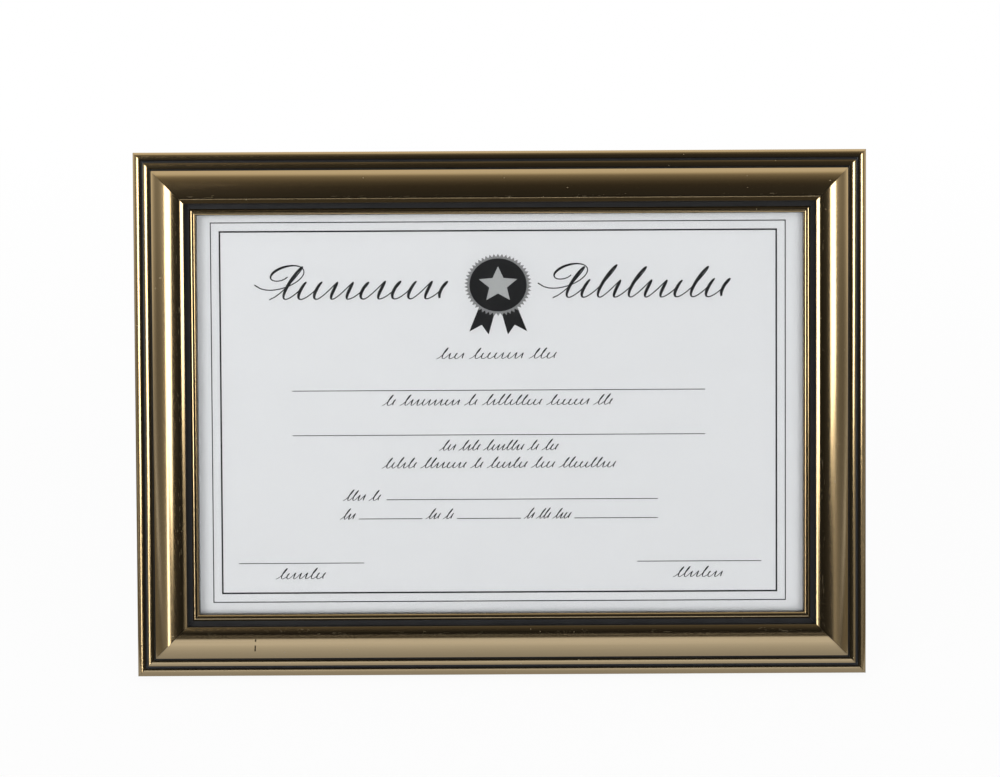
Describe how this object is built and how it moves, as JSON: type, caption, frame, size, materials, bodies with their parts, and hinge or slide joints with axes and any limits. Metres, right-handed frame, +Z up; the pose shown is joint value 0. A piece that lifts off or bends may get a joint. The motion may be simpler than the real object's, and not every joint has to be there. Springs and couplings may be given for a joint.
{
  "type": "certificate frame",
  "caption": "Landscape picture frame with a stepped gold and black moulding, clear pane, printed certificate, hinged easel strut and hangers.",
  "frame": {"origin": "middle of the frame's lower rear edge, which lies on the desk", "axes": "+X along the width, to the right as seen from the front; +Y to the rear, towards the strut; +Z up. The frame leans back 15 degrees."},
  "size_m": [0.3604, 0.099, 0.2524],
  "materials": {
    "moulding": "gold foil beads and dome with glossy black coves",
    "clear_pane": "clear and flat",
    "certificate_paper": "white certificate stock with dark printing",
    "filler_board": "grey board",
    "backing_fibreboard": "brown hardboard",
    "strut_fibreboard": "black papered fibreboard",
    "steel": "zinc plated",
    "brass_plate": "brass plated",
    "bumper_rubber": "black rubber"
  },
  "bodies": {
    "frame": {"top_rail": "moulding", "bottom_rail": "moulding", "left_rail": "moulding", "right_rail": "moulding", "corner_v_nails": "steel", "glass_pane": "clear_pane", "certificate_sheet": "certificate_paper", "filler_card": "filler_board", "backing_board": "backing_fibreboard", "turn_button_screws": "steel", "sawtooth_hanger_top": "brass_plate", "sawtooth_hanger_left": "brass_plate", "hanger_nails": "brass_plate", "wall_bumpers": "bumper_rubber", "hinge_board_leaf": "steel", "hinge_pin": "steel", "board_rivets": "steel"},
    "strut": {"strut_leg": "strut_fibreboard", "hinge_leg_leaf": "steel", "leg_rivets": "steel"},
    "button_top_left": {"turn_button_top_left": "brass_plate"},
    "button_top_right": {"turn_button_top_right": "brass_plate"},
    "button_bottom_left": {"turn_button_bottom_left": "brass_plate"},
    "button_bottom_right": {"turn_button_bottom_right": "brass_plate"},
    "button_left": {"turn_button_left": "brass_plate"},
    "button_right": {"turn_button_right": "brass_plate"}
  },
  "joints": [
    {"name": "strut_hinge", "type": "hinge", "parent": "frame", "child": "strut", "pos_m": [0, 0.04737, 0.16848], "axis": [-1, 0, 0], "range_deg": [0, 28]},
    {"name": "turn_button_top_left", "type": "hinge", "parent": "frame", "child": "button_top_left", "pos_m": [-0.095, 0.06248, 0.23048], "axis": [0, 0.9659, -0.2588], "continuous": true},
    {"name": "turn_button_top_right", "type": "hinge", "parent": "frame", "child": "button_top_right", "pos_m": [0.095, 0.06248, 0.23048], "axis": [0, 0.9659, -0.2588], "continuous": true},
    {"name": "turn_button_bottom_left", "type": "hinge", "parent": "frame", "child": "button_bottom_left", "pos_m": [-0.095, 0.00585, 0.01914], "axis": [0, 0.9659, -0.2588], "continuous": true},
    {"name": "turn_button_bottom_right", "type": "hinge", "parent": "frame", "child": "button_bottom_right", "pos_m": [0.095, 0.00585, 0.01914], "axis": [0, 0.9659, -0.2588], "continuous": true},
    {"name": "turn_button_left", "type": "hinge", "parent": "frame", "child": "button_left", "pos_m": [-0.1602, 0.01916, 0.06879], "axis": [0, 0.9659, -0.2588], "continuous": true},
    {"name": "turn_button_right", "type": "hinge", "parent": "frame", "child": "button_right", "pos_m": [0.1602, 0.01916, 0.06879], "axis": [0, 0.9659, -0.2588], "continuous": true}
  ]
}
